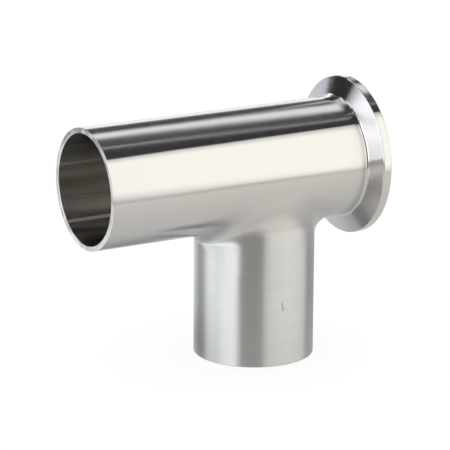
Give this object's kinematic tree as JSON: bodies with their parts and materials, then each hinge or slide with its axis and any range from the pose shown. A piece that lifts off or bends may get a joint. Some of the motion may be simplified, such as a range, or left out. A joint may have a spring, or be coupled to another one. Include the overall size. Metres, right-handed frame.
{
  "type": "sanitary weld clamp tee",
  "caption": "Hygienic tube tee: a straight run with a plain weld end and a short clamp flange with gasket groove, and a plain weld branch at a right angle, all in one bore.",
  "frame": {"origin": "crossing of the run's axis and the branch's axis", "axes": "+X along the run toward the clamp face, -Z along the branch toward its weld end, on which the tee stands, and Y across"},
  "size_m": [0.0952, 0.0504, 0.0855],
  "materials": {
    "stainless": "polished run and clamp end, satin branch"
  },
  "bodies": {
    "root": {"tee": "stainless"}
  },
  "joints": []
}
